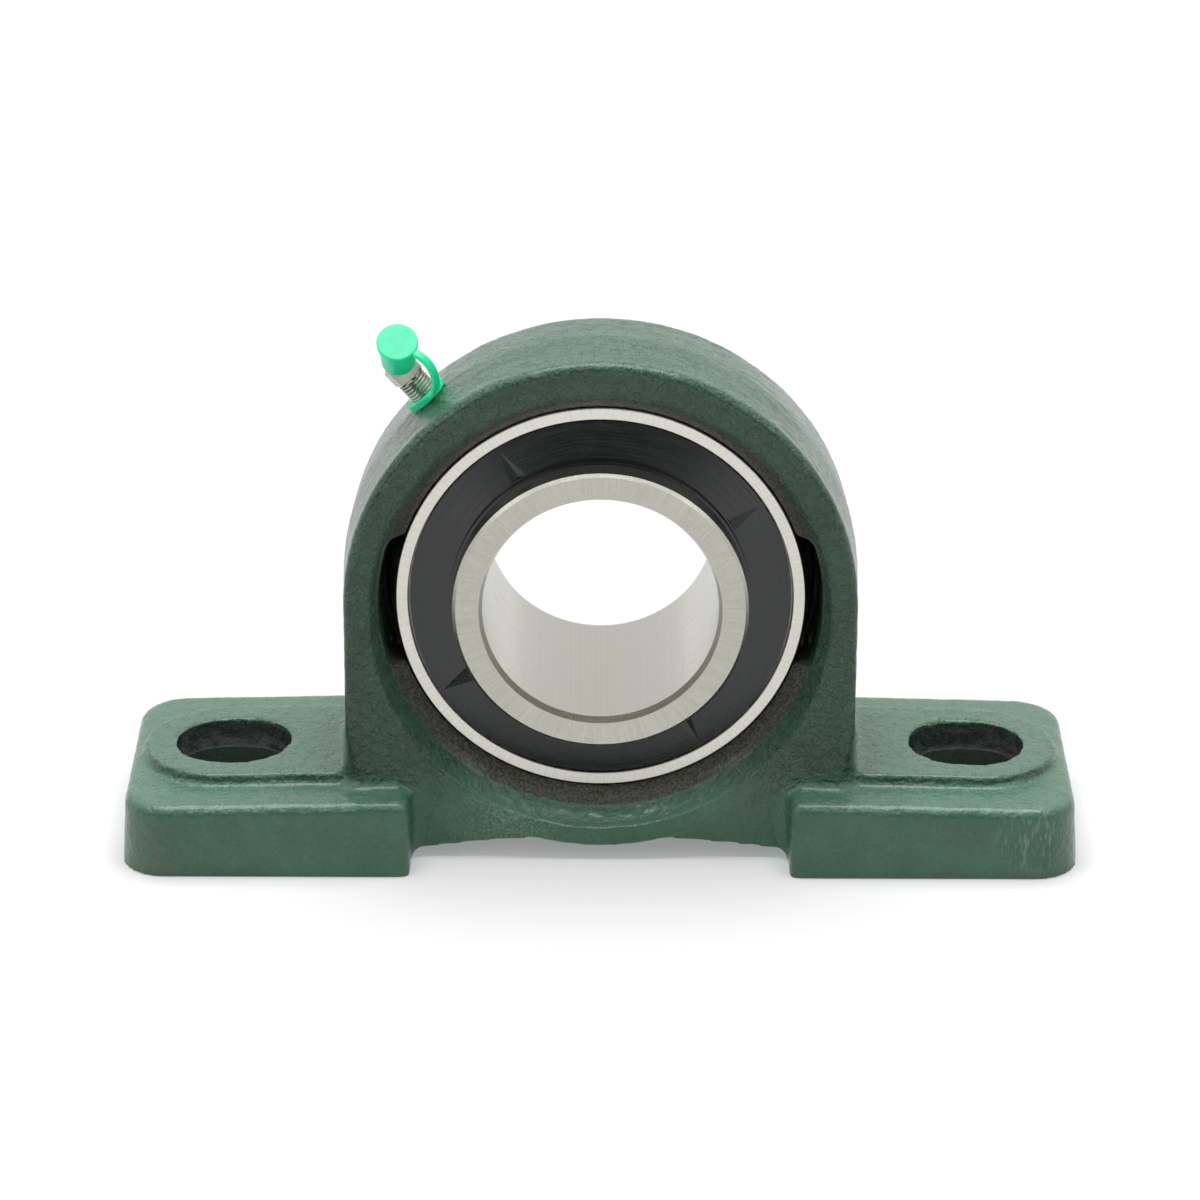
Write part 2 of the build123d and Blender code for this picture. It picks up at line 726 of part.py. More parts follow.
with BuildPart() as nipple_spring:
    with BuildLine() as coil:
        Helix(
            pitch=spring_length / spring_turns,
            height=spring_length,
            radius=spring_radius,
            center=elbow + head_axis * (spring_floor + spring_wire / 2 + spring_gap),
            direction=head_axis,
        )
    with BuildSketch(Plane(coil.line @ 0, z_dir=coil.line % 0)):
        Circle(spring_wire / 2)
    sweep()
save(nipple_spring.part, "nipple_spring")

# ---- Grease cap: slightly tapered body with a wider lid ----
cap_bore = head_diameter / 2 + cap_clearance
cap_end = cap_start + cap_length
lid_under = cap_end - cap_lid_height

with BuildPart() as grease_cap:
    with BuildSketch(head_section):
        with BuildLine():
            Polyline(
                (cap_bore, cap_start),
                (cap_mouth_diameter / 2, cap_start),
                (cap_body_diameter / 2, lid_under),
                (cap_lid_diameter / 2, lid_under),
                (cap_lid_diameter / 2, cap_end),
                (0, cap_end),
                (0, head_length + cap_headroom),
                (cap_bore, head_length + cap_headroom),
                close=True,
            )
        make_face()
    revolve(axis=Axis(elbow, head_axis))
    lid_edges = grease_cap.edges().filter_by(GeomType.CIRCLE).sort_by(SortBy.RADIUS)[-2:]
    fillet(lid_edges, cap_round)
save(grease_cap.part, "grease_cap")

# ---- Cap strap: ring under the nipple and the band that keeps the cap, moulded in one ----
front = Vector(0, -1, 0)
right = Vector(1, 0, 0)
strap_side = stem_axis.cross(front)
strap_out = strap_side * cos(radians(strap_turn)) + front * sin(radians(strap_turn))
lid_front = right.cross(head_axis)
lid_out = right * cos(radians(lid_turn)) + lid_front * sin(radians(lid_turn))
ring_middle = stem_foot + stem_axis * (strap_lift + strap_ring_height / 2)
ring_point = ring_middle + strap_out * (strap_ring_diameter - strap_thickness) / 2
lid_middle = elbow + head_axis * (cap_end - cap_lid_height / 2)
lid_point = lid_middle + lid_out * (cap_lid_diameter / 2 + strap_clearance)

with BuildPart() as cap_strap:
    with BuildSketch(Plane(stem_foot + stem_axis * strap_lift, z_dir=stem_axis)):
        Circle(strap_ring_diameter / 2)
        Circle(nipple_thread / 2 + strap_clearance, mode=Mode.SUBTRACT)
    extrude(amount=strap_ring_height)
    with BuildLine() as band:
        Spline(
            ring_point,
            lid_point,
            tangents=(strap_out, lid_out * -1),
            tangent_scalars=(strap_root_bow, strap_lid_bow),
        )
    band_start = Plane(ring_point, x_dir=strap_out.cross(stem_axis), z_dir=strap_out)
    with BuildSketch(band_start):
        RectangleRounded(strap_width, strap_thickness, strap_round)
    sweep()
save(cap_strap.part, "cap_strap")
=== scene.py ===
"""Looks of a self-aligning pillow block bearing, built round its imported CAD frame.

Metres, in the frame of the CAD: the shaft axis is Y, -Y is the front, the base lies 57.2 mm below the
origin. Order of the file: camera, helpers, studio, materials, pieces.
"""

from math import cos, pi, radians, sin, tan

import bpy
import numpy as np
from mathutils import Matrix, Vector, noise


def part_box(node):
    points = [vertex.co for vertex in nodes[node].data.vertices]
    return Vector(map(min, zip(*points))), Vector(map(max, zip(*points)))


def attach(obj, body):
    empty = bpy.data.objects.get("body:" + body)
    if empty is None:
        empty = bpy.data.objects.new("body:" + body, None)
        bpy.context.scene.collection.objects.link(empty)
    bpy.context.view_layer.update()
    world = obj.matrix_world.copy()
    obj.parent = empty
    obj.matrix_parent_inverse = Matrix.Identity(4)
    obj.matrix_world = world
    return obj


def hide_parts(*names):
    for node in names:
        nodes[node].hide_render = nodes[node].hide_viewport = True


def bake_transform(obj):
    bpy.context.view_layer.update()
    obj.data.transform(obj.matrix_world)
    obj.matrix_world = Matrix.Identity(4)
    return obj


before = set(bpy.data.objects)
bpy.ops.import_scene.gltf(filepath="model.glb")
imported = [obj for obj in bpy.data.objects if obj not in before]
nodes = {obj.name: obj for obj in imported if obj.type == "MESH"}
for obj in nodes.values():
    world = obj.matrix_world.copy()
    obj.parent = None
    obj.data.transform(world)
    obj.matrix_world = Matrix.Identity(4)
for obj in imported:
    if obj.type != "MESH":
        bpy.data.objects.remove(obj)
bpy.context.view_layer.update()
MM = 0.001


def link(made):
    """Put a new object into the scene."""
    bpy.context.scene.collection.objects.link(made)


# ---- Sizes shared with the CAD model ----
base_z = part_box("housing")[0][2]
arch_radius = 55.2 * MM
machined_radius = 46.8 * MM
machined_depth = 15.4 * MM
slot_x = 79.5 * MM
slot_half_width = 10.5 * MM
slot_reach = 1.65 * MM
slot_painted_shade_below = 17.2 * MM  # the slot walls are painted dark, as painted shade, up to here above the base, and as elsewhere from here
slot_plain_above = 18.2 * MM  # and as elsewhere from here
seat_room = 0.12 * MM  # the shown seat is this much wider than the solid's, to stay off the ring
skin_voxel = 0.6 * MM
foot_level = -44.0 * MM  # from here down the paint is that of the feet, painted paler as light bounced from the floor
body_level = -34.0 * MM
dish_inner = 27.5 * MM
dish_outer = 40.5 * MM
dish_depth = 3.1 * MM

# ---- Camera: long lens, a little above the shaft ----
camera_elevation = radians(23.6)
camera_roll = 0.0033
camera_distance = 1.030
camera_target = Vector((-0.122 * MM, 0, -5.40 * MM))
camera_lens = 144.0

back = Vector((0, -cos(camera_elevation), sin(camera_elevation)))
level_right = Vector((1, 0, 0))
level_up = back.cross(level_right)
right = level_right * cos(camera_roll) + level_up * sin(camera_roll)
up = back.cross(right)
camera_data = bpy.data.cameras.new("camera")
camera_data.lens = camera_lens
camera_data.sensor_width = 36.0
camera_data.clip_end = 20.0
camera = bpy.data.objects.new("camera", camera_data)
link(camera)
turn = Matrix((right, up, back)).transposed().to_4x4()
camera.matrix_world = Matrix.Translation(camera_target + back * camera_distance) @ turn
bpy.context.scene.camera = camera

bpy.context.scene.view_settings.view_transform = "Standard"


# ---- Helpers for node trees ----
class Graph:
    """A short way to write a node tree: each call adds a node and gives back its first output."""

    def __init__(self, tree):
        self.tree = tree

    def add(self, kind, *values, **settings):
        """Add a node; values go to its first sockets, settings to its properties or named sockets."""
        made = self.tree.nodes.new(kind)
        for name in list(settings):
            if hasattr(made, name):
                setattr(made, name, settings.pop(name))
        for place, value in enumerate(values):
            self.feed(made.inputs[place], value)
        for name, value in settings.items():
            self.feed(made.inputs[name.replace("_", " ").title()], value)
        return made

    def feed(self, socket, value):
        """Link an output into a socket, or set the socket's own constant."""
        if value is None:
            return
        if isinstance(value, bpy.types.NodeSocket):
            self.tree.links.new(value, socket)
        else:
            socket.default_value = value

    def math(self, operation, *values, clamp=False):
        """One Math node."""
        made = self.add("ShaderNodeMath", *values, operation=operation)
        made.use_clamp = clamp
        return made.outputs[0]

    def ramp(self, value, low, high, at_low=0.0, at_high=1.0, smooth=True):
        """Map a value from one range to another, held at both ends."""
        kind = "SMOOTHSTEP" if smooth else "LINEAR"
        made = self.add("ShaderNodeMapRange", value, low, high, at_low, at_high)
        made.interpolation_type = kind
        made.clamp = True
        return made.outputs[0]

    def noise(self, place, size, detail=3.0, rough=0.5, distortion=0.0):
        """Noise with features about one size across, in metres; 0 to 1."""
        made = self.add("ShaderNodeTexNoise")
        self.feed(made.inputs["Vector"], place)
        made.inputs["Scale"].default_value = 1.0 / size
        made.inputs["Detail"].default_value = detail
        made.inputs["Roughness"].default_value = rough
        made.inputs["Distortion"].default_value = distortion
        return made.outputs["Fac"]

    def cells(self, place, size, feature="F1"):
        """Distance to the nearest of scattered points about one size apart."""
        made = self.add("ShaderNodeTexVoronoi", feature=feature)
        self.feed(made.inputs["Vector"], place)
        made.inputs["Scale"].default_value = 1.0 / size
        return made.outputs["Distance"]

    def mix(self, share, first, second):
        """Mix two colours."""
        made = self.add("ShaderNodeMix", data_type="RGBA")
        self.feed(made.inputs[0], share)
        self.feed(made.inputs[6], first)
        self.feed(made.inputs[7], second)
        return made.outputs[2]

    def blend(self, share, first, second):
        """Mix two numbers."""
        made = self.add("ShaderNodeMix", data_type="FLOAT")
        self.feed(made.inputs[0], share)
        self.feed(made.inputs[2], first)
        self.feed(made.inputs[3], second)
        return made.outputs[0]

    def bump(self, height, depth, strength=1.0, after=None):
        """Bump whose height runs from 0 to 1 over a depth in metres."""
        made = self.add("ShaderNodeBump")
        self.feed(made.inputs["Strength"], strength)
        made.inputs["Distance"].default_value = depth
        self.feed(made.inputs["Height"], height)
        if after is not None:
            self.feed(made.inputs["Normal"], after)
        return made.outputs[0]


def new_material(name):
    """A material with one Principled shader; returns the material, its graph and the shader."""
    made = bpy.data.materials.new(name)
    made.use_nodes = True
    shader = made.node_tree.nodes["Principled BSDF"]
    return made, Graph(made.node_tree), shader


def place_of(graph):
    """Position in the object's own metres, and its X, Y and Z."""
    place = graph.add("ShaderNodeTexCoord").outputs["Object"]
    split = graph.add("ShaderNodeSeparateXYZ", place).outputs
    return place, split[0], split[1], split[2]


def round_shaft(graph, x, z):
    """Distance from the shaft axis and angle round it."""
    radius = graph.math("SQRT", graph.math("ADD", graph.math("MULTIPLY", x, x), graph.math("MULTIPLY", z, z)))
    angle = graph.math("ARCTAN2", z, x)
    return radius, angle


def spot(graph, place, centre, size):
    """1 at a point, falling to 0 at a distance."""
    reach = graph.add("ShaderNodeVectorMath", place, centre, operation="DISTANCE").outputs["Value"]
    return graph.ramp(reach, 0.0, size, 1.0, 0.0)


def colour(red, green, blue):
    """Linear colour from 0 to 255 screen values."""
    return tuple(((value / 255 + 0.055) / 1.055) ** 2.4 for value in (red, green, blue)) + (1.0,)


# ---- Studio: white behind and above, dim in front, as in a room with one white backdrop ----
world_light = 0.17
front_dim = 0.09

world = bpy.data.worlds.new("studio")
bpy.context.scene.world = world
world.use_nodes = True
sky = Graph(world.node_tree)
seen = sky.add("ShaderNodeLightPath").outputs
shown = sky.math("MAXIMUM", seen["Is Camera Ray"], seen["Is Transmission Ray"])
aim = sky.add("ShaderNodeTexCoord").outputs["Generated"]
aim_parts = sky.add("ShaderNodeSeparateXYZ", aim).outputs
backdrop = sky.ramp(aim_parts[1], -0.75, 0.05, front_dim, 1.0)
overhead = sky.ramp(aim_parts[2], 0.2, 0.6)
reflected = sky.math("MAXIMUM", backdrop, overhead)
level = sky.blend(seen["Is Glossy Ray"], world_light, reflected)
background = world.node_tree.nodes["Background"]
background.inputs["Color"].default_value = (1.0, 1.0, 1.0, 1.0)
sky.feed(background.inputs["Strength"], sky.blend(shown, level, 1.0))


def softbox(name, size, place, aim, power):
    """A square area lamp that looks at a point."""
    data = bpy.data.lights.new(name, "AREA")
    data.shape = "SQUARE"
    data.size = size
    data.energy = power
    lamp = bpy.data.objects.new(name, data)
    lamp.location = place
    lamp.rotation_euler = (Vector(aim) - Vector(place)).to_track_quat("-Z", "Y").to_euler()
    link(lamp)


softbox("softbox_top", 1.1, (0.0, 0.15, 1.5), (0, 0, 0), 26.0)
softbox("softbox_left", 0.9, (-1.3, -0.9, 0.8), (0, 0, 0), 4.0)
softbox("softbox_right", 0.9, (1.3, -0.9, 0.8), (0, 0, 0), 3.4)

floor_tone = 0.66
floor_glow = 0.27  # near the object
floor_far_glow = 0.95
floor_mesh = bpy.data.meshes.new("floor")
side = 6.0
floor_mesh.from_pydata(
    [(-side, -side, base_z), (side, -side, base_z), (side, side, base_z), (-side, side, base_z)],
    [],
    [(0, 1, 2, 3)],
)
floor = bpy.data.objects.new("floor", floor_mesh)
link(floor)
floor_paint, graph, shader = new_material("floor_paper")
seen = graph.add("ShaderNodeLightPath").outputs
direct = graph.math("MAXIMUM", seen["Is Camera Ray"], seen["Is Glossy Ray"])
direct = graph.math("MAXIMUM", direct, seen["Is Transmission Ray"])
shader.inputs["Base Color"].default_value = (floor_tone, floor_tone, floor_tone, 1.0)
shader.inputs["Roughness"].default_value = 0.9
shader.inputs["Specular IOR Level"].default_value = 0.0
shader.inputs["Emission Color"].default_value = (1.0, 1.0, 1.0, 1.0)
floor_place = place_of(graph)[0]
floor_middle = (0.0, 0.0, base_z)
far = graph.add("ShaderNodeVectorMath", floor_place, floor_middle, operation="DISTANCE").outputs["Value"]
glow = graph.ramp(far, 0.15, 1.1, floor_glow, floor_far_glow)
graph.feed(shader.inputs["Emission Strength"], graph.math("MULTIPLY", direct, glow))
floor_mesh.materials.append(floor_paint)


# ---- Material: green paint over sand-cast iron, bare where the casting is machined ----
def worn_spots(graph, place, grit, streaks):
    """Where the paint is scuffed, rubbed, rusted or streaked: a share, its most and a colour for each."""
    fleck = graph.ramp(grit, 0.50, 0.60)
    scuffed = spot(graph, place, (-0.020, -0.022, -0.050), 0.017)
    rubbed = spot(graph, place, (0.031, -0.019, -0.039), 0.019)
    rusted = spot(graph, place, (-0.095, -0.030, -0.052), 0.009)
    streaked = spot(graph, place, (0.092, -0.030, -0.048), 0.012)
    return (
        (graph.math("MULTIPLY", scuffed, fleck), 0.60, (146, 164, 146)),
        (graph.math("MULTIPLY", rubbed, fleck), 0.60, (104, 96, 78)),
        (graph.math("MULTIPLY", rusted, fleck), 0.70, (116, 88, 64)),
        (graph.math("MULTIPLY", streaked, streaks), 0.45, (150, 168, 154)),
    )


def in_slot(graph, x, y, z):
    """1 on the walls of the bolt slots, below their rims, where the paint is darkened as painted shade."""
    along = graph.math("ABSOLUTE", graph.math("SUBTRACT", graph.math("ABSOLUTE", x), slot_x))
    along = graph.math("MAXIMUM", graph.math("SUBTRACT", along, slot_reach), 0.0)
    squares = graph.math("ADD", graph.math("MULTIPLY", along, along), graph.math("MULTIPLY", y, y))
    reach = graph.math("SQRT", squares)
    wall = graph.ramp(reach, slot_half_width + 0.6 * MM, slot_half_width + 1.1 * MM, 1.0, 0.0)
    deep = graph.ramp(z, base_z + slot_painted_shade_below, base_z + slot_plain_above, 1.0, 0.0)
    return graph.math("MULTIPLY", wall, deep)


def make_housing_paint():
    """Paint, bare turned lead cone, bare milled underside, scuffs and rust."""
    made, graph, shader = new_material("housing_paint")
    place, x, y, z = place_of(graph)
    radius = round_shaft(graph, x, z)[0]
    grit = graph.noise(place, 0.55 * MM, 4.0, 0.65)
    sand = graph.noise(place, 1.3 * MM, 3.0, 0.6)
    lump = graph.noise(place, 3.2 * MM, 2.0, 0.5)
    peel = graph.noise(place, 1.5 * MM, 1.0, 0.4, 0.8)
    swell = graph.noise(place, 8.0 * MM, 2.0, 0.5)
    pits = graph.cells(place, 1.7 * MM)
    upright = graph.add("ShaderNodeVectorMath", place, (1.0, 1.0, 0.18), operation="MULTIPLY").outputs[0]
    streaks = graph.ramp(graph.noise(upright, 0.7 * MM, 2.0, 0.5), 0.52, 0.60)

    # The upper part keeps a deep gloss; the feet are smoother, and painted paler for the light bounced up
    # from the floor
    upper = graph.ramp(z, foot_level, body_level)
    feet = graph.mix(graph.ramp(swell, 0.3, 0.7), colour(50, 98, 73), colour(58, 108, 82))
    body = graph.mix(graph.ramp(swell, 0.3, 0.7), colour(19, 64, 41), colour(29, 78, 54))
    paint = graph.mix(upper, feet, body)
    # Up-facing faces are painted paler: a painted sheen for the light from above and the backdrop
    normal = graph.add("ShaderNodeNewGeometry").outputs["Normal"]
    facing = graph.add("ShaderNodeSeparateXYZ", normal).outputs[2]
    painted_top_sheen = graph.ramp(facing, 0.35, 0.95, 0.0, 0.75)
    paint = graph.mix(painted_top_sheen, paint, colour(84, 126, 103))
    paint = graph.mix(graph.ramp(lump, 0.45, 0.75, 0.0, 0.4), paint, colour(50, 96, 73))
    paint = graph.mix(graph.ramp(grit, 0.54, 0.70, 0.0, 0.45), paint, colour(82, 124, 101))
    for share, most, tone in worn_spots(graph, place, grit, streaks):
        paint = graph.mix(graph.math("MULTIPLY", share, most), paint, colour(*tone))

    # The walls of the bolt slots are painted dark: painted shade in the recess
    paint = graph.mix(in_slot(graph, x, y, z), paint, colour(14, 34, 25))

    # Bare metal: the lead cone and the seat behind it, and the underside of the feet
    edge = graph.math("ADD", radius, graph.math("MULTIPLY", graph.math("SUBTRACT", sand, 0.5), 0.9 * MM))
    inside = graph.ramp(edge, machined_radius - 0.25 * MM, machined_radius + 0.25 * MM, 1.0, 0.0)
    depth = graph.math("ABSOLUTE", y)
    near = graph.ramp(depth, machined_depth + 0.6 * MM, machined_depth + 1.2 * MM, 1.0, 0.0)
    cone = graph.math("MULTIPLY", inside, near)
    milled = graph.ramp(z, base_z + 0.05 * MM, base_z + 0.15 * MM, 1.0, 0.0)
    bare = graph.math("MAXIMUM", cone, milled)
    iron = graph.mix(graph.ramp(grit, 0.40, 0.60), colour(42, 46, 37), colour(90, 94, 79))
    surface = graph.mix(bare, paint, iron)
    graph.feed(shader.inputs["Base Color"], surface)

    graph.feed(shader.inputs["Metallic"], graph.math("MULTIPLY", bare, 0.25))
    rough = graph.ramp(grit, 0.3, 0.7, 0.26, 0.38)
    graph.feed(shader.inputs["Roughness"], graph.blend(bare, rough, 0.6))
    shader.inputs["Specular IOR Level"].default_value = 0.42
    shader.inputs["Coat Weight"].default_value = 0.42
    shader.inputs["Coat Roughness"].default_value = 0.12
    relief = graph.ramp(z, foot_level, body_level, 0.35, 1.0)
    first = graph.bump(swell, 0.6 * MM, 0.7)
    second = graph.bump(lump, 0.6 * MM, 0.8, first)
    pitted = graph.ramp(pits, 0.05, 0.32, 0.0, 1.0)
    third = graph.bump(pitted, 0.12 * MM, 0.4, second)
    wrinkled = graph.bump(graph.ramp(peel, 0.38, 0.62), 0.42 * MM, relief, third)
    fourth = graph.bump(sand, 0.8 * MM, relief, wrinkled)
    fifth = graph.bump(grit, 0.45 * MM, relief, fourth)
    graph.feed(shader.inputs["Normal"], fifth)
    return made


# ---- Material: ground bearing steel, with fine marks round the shaft axis ----
def round_grain(graph, radius, angle, y, fine):
    """Noise drawn out round the shaft, for ground and turned faces."""
    along = graph.add(
        "ShaderNodeCombineXYZ",
        graph.math("MULTIPLY", radius, fine),
        graph.math("MULTIPLY", angle, 5.0),
        graph.math("MULTIPLY", y, fine),
    ).outputs[0]
    return graph.noise(along, 1.0, 3.0, 0.6)


def make_ground_steel(name, tone, rough_low, rough_high, marks):
    """Satin steel whose grinding marks run round the shaft."""
    made, graph, shader = new_material(name)
    place, x, y, z = place_of(graph)
    radius, angle = round_shaft(graph, x, z)
    grain = round_grain(graph, radius, angle, y, 9000.0)
    band = round_grain(graph, radius, angle, y, 2200.0)
    across = graph.add(
        "ShaderNodeCombineXYZ",
        graph.math("MULTIPLY", angle, 70.0),
        graph.math("MULTIPLY", radius, 120.0),
    ).outputs[0]
    rays = graph.noise(across, 1.0, 3.0, 0.6)
    specks = graph.noise(place, 0.7 * MM, 2.0, 0.5)
    dark = tuple(value * 0.90 for value in tone[:3]) + (1.0,)
    pale = tuple(min(1.0, value * 1.05) for value in tone[:3]) + (1.0,)
    shade = graph.mix(graph.ramp(rays, 0.30, 0.70), dark, pale)
    shade = graph.mix(graph.ramp(band, 0.45, 0.75, 0.0, 0.45), shade, dark)
    shade = graph.mix(graph.ramp(specks, 0.74, 0.80, 0.0, 0.55), shade, colour(70, 66, 58))
    graph.feed(shader.inputs["Base Color"], shade)
    shader.inputs["Metallic"].default_value = 1.0
    graph.feed(shader.inputs["Roughness"], graph.ramp(grain, 0.3, 0.7, rough_low, rough_high))
    shader.inputs["Anisotropic"].default_value = 0.6
    round_y = graph.add("ShaderNodeTangent", direction_type="RADIAL", axis="Y")
    graph.feed(shader.inputs["Tangent"], round_y.outputs[0])
    graph.feed(shader.inputs["Normal"], graph.bump(grain, marks, 0.5))
    return made


# ---- Material: black pressed sheet of the slingers ----
def make_black_sheet():
    """Gloss black over pressed steel, slightly dished, with faint draw marks round the shaft."""
    made, graph, shader = new_material("black_sheet")
    place, x, y, z = place_of(graph)
    radius, angle = round_shaft(graph, x, z)
    marks = round_grain(graph, radius, angle, y, 3000.0)
    dust = graph.noise(place, 0.35 * MM, 3.0, 0.6)
    shade = graph.mix(graph.ramp(marks, 0.3, 0.7), colour(7, 13, 14), colour(13, 21, 23))
    shade = graph.mix(graph.ramp(dust, 0.68, 0.76, 0.0, 0.4), shade, colour(84, 90, 90))
    graph.feed(shader.inputs["Base Color"], shade)
    graph.feed(shader.inputs["Roughness"], graph.ramp(marks, 0.3, 0.7, 0.20, 0.30))
    shader.inputs["Specular IOR Level"].default_value = 0.66
    dished = graph.bump(graph.ramp(radius, dish_inner, dish_outer, 1.0, 0.0, smooth=False), dish_depth, 1.0)
    graph.feed(shader.inputs["Normal"], graph.bump(marks, 0.015 * MM, 0.4, dished))
    return made


# ---- Material: plain metals of the small parts ----
def make_plated(name, tone, rough, metal=1.0, size=0.6 * MM):
    """Plated or blackened metal with small variations of tone and gloss."""
    made, graph, shader = new_material(name)
    place = place_of(graph)[0]
    cloud = graph.noise(place, size * 3, 3.0, 0.6)
    fine = graph.noise(place, size * 0.4, 3.0, 0.6)
    dark = tuple(value * 0.75 for value in tone[:3]) + (1.0,)
    graph.feed(shader.inputs["Base Color"], graph.mix(graph.ramp(cloud, 0.35, 0.7), tone, dark))
    shader.inputs["Metallic"].default_value = metal
    graph.feed(shader.inputs["Roughness"], graph.ramp(fine, 0.3, 0.7, rough * 0.8, rough * 1.3))
    graph.feed(shader.inputs["Normal"], graph.bump(fine, 0.02 * MM, 0.35))
    return made


# ---- Material: black rubber of the seals ----
def make_rubber():
    """Matte moulded rubber."""
    made, graph, shader = new_material("seal_rubber")
    place = place_of(graph)[0]
    fine = graph.noise(place, 0.4 * MM, 3.0, 0.6)
    graph.feed(shader.inputs["Base Color"], graph.mix(fine, colour(18, 18, 18), colour(34, 34, 33)))
    graph.feed(shader.inputs["Roughness"], graph.ramp(fine, 0.3, 0.7, 0.6, 0.8))
    graph.feed(shader.inputs["Normal"], graph.bump(fine, 0.03 * MM, 0.4))
    return made


# ---- Material: mint green plastic of the cap ----
def make_cap_plastic():
    """Soft, slightly translucent polyethylene with moulding haze, and a faint painted glow for the light
    shining through it.
    """
    made, graph, shader = new_material("cap_plastic")
    place = place_of(graph)[0]
    haze = graph.noise(place, 2.2 * MM, 3.0, 0.55)
    fine = graph.noise(place, 0.5 * MM, 3.0, 0.6)
    shade = graph.mix(graph.ramp(haze, 0.3, 0.7), colour(6, 210, 152), colour(26, 220, 172))
    graph.feed(shader.inputs["Base Color"], shade)
    graph.feed(shader.inputs["Roughness"], graph.ramp(fine, 0.3, 0.7, 0.30, 0.42))
    shader.inputs["Subsurface Weight"].default_value = 0.75
    shader.inputs["Subsurface Radius"].default_value = (0.2, 1.0, 0.6)
    shader.inputs["Subsurface Scale"].default_value = 2.5 * MM
    # A faint painted glow: emission that stands in for light passing through the plastic
    shader.inputs["Emission Color"].default_value = colour(0, 226, 150)
    shader.inputs["Emission Strength"].default_value = 0.13
    graph.feed(shader.inputs["Normal"], graph.bump(fine, 0.03 * MM, 0.3))
    return made


housing_paint = make_housing_paint()
ring_steel = make_ground_steel("ring_steel", colour(216, 214, 205), 0.26, 0.36, 0.010 * MM)
bore_steel = make_ground_steel("bore_steel", colour(184, 183, 174), 0.24, 0.34, 0.008 * MM)
black_sheet = make_black_sheet()
ball_steel = make_plated("ball_steel", colour(215, 215, 213), 0.08)
cage_steel = make_plated("cage_steel", colour(150, 148, 142), 0.38)
screw_steel = make_plated("screw_steel", colour(46, 46, 48), 0.40, 0.6)
zinc_plate = make_plated("zinc_plate", colour(160, 164, 152), 0.20)
seal_rubber = make_rubber()
cap_plastic = make_cap_plastic()


def dress(node, material):
    """Give a carried-over CAD node its material."""
    for slot in nodes[node].material_slots:
        slot.material = material


for node in nodes:
    if node.startswith("ball_"):
        dress(node, ball_steel)
    elif node.startswith("cage_") or node.startswith("seal_core"):
        dress(node, cage_steel)
    elif node.startswith("seal_rubber"):
        dress(node, seal_rubber)
    elif node.startswith("slinger"):
        dress(node, black_sheet)
    elif node.startswith("set_screw"):
        dress(node, screw_steel)
dress("outer_ring", ring_steel)
dress("inner_ring", bore_steel)
dress("grease_nipple", zinc_plate)
dress("nipple_ball", ball_steel)
dress("nipple_spring", cage_steel)
dress("grease_cap", cap_plastic)
dress("cap_strap", cap_plastic)
dress("housing", housing_paint)


# ---- Housing: a cast skin over the CAD solid, with soft edges and a sand-cast swell ----
def cast_skin(node, voxel):
    """Fine even mesh of a CAD node, its sharp edges softened as a casting's are."""
    source = nodes[node]
    mesh = source.data.copy()
    mesh.transform(source.matrix_world)
    made = bpy.data.objects.new(f"{node}_skin", mesh)
    link(made)
    remesh = made.modifiers.new("even", "REMESH")
    remesh.mode = "VOXEL"
    remesh.voxel_size = voxel
    soften = made.modifiers.new("soften", "SMOOTH")
    soften.factor = 0.5
    soften.iterations = 3
    bpy.context.view_layer.update()
    shown = made.evaluated_get(bpy.context.evaluated_depsgraph_get())
    fine = bpy.data.meshes.new_from_object(shown)
    made.modifiers.clear()
    made.data = fine
    return made


def swell_at(point):
    """How far the casting falls short of its pattern at a point, in metres."""
    wide = noise.noise(point * 110.0)
    near = noise.noise(point * 420.0)
    fine = noise.noise(point * 1000.0)
    ripple = noise.noise(Vector((point.x * 130.0, point.y * 380.0, point.z * 130.0)))
    top = min(max((point.z / arch_radius - 0.35) / 0.4, 0.0), 1.0)
    return (0.07 * wide + 0.07 * near + 0.05 * fine + 0.09 * top * ripple - 0.16) * MM


# The front rim of the arch is crisper than the solid's, whose rounding also serves the back rim
rim_round = 4.4 * MM
rim_crisp = 1.9 * MM
half_body = 18.5 * MM
face_lean = tan(radians(2.9))
crown_lean = tan(radians(2.8))
rim_fade = (-36.0 * MM, -29.0 * MM)


def crisp_rim(points):
    """Shift of each point of the front rim that turns its wide rounding into a tight one."""
    x, y, z = points.T
    round_part = z > 0
    radius = np.maximum(np.hypot(x, z), 1 * MM)
    outside = np.where(round_part, radius, np.abs(x))
    across = np.where(round_part, x / radius, np.sign(x))
    upwards = np.where(round_part, z / radius, 0.0)
    inside_rim = outside - (arch_radius - np.abs(y) * crown_lean - rim_round)
    inside_face = -y - (half_body - z * face_lean - rim_round)
    reach = np.hypot(inside_rim, inside_face)
    on_rim = (inside_rim > 0) & (inside_face > 0) & (reach > 0.75 * rim_round)
    reach = np.maximum(reach, 1 * MM)
    one = np.clip(inside_rim / reach, 0, 1)
    other = np.clip(inside_face / reach, 0, 1)
    longest = rim_round / np.maximum(np.maximum(one, other), 0.1)
    step = rim_round - rim_crisp
    middle = step * (one + other)
    tight = middle + np.sqrt(np.maximum(middle**2 - 2 * step**2 + rim_crisp**2, 0))
    target = np.where(np.minimum(one, other) * longest <= step, longest, tight)
    fade = np.clip((z - rim_fade[0]) / (rim_fade[1] - rim_fade[0]), 0, 1)
    growth = np.where(on_rim, (target - rim_round) * fade, 0.0)
    return np.stack((growth * one * across, -growth * other, growth * one * upwards), axis=1)


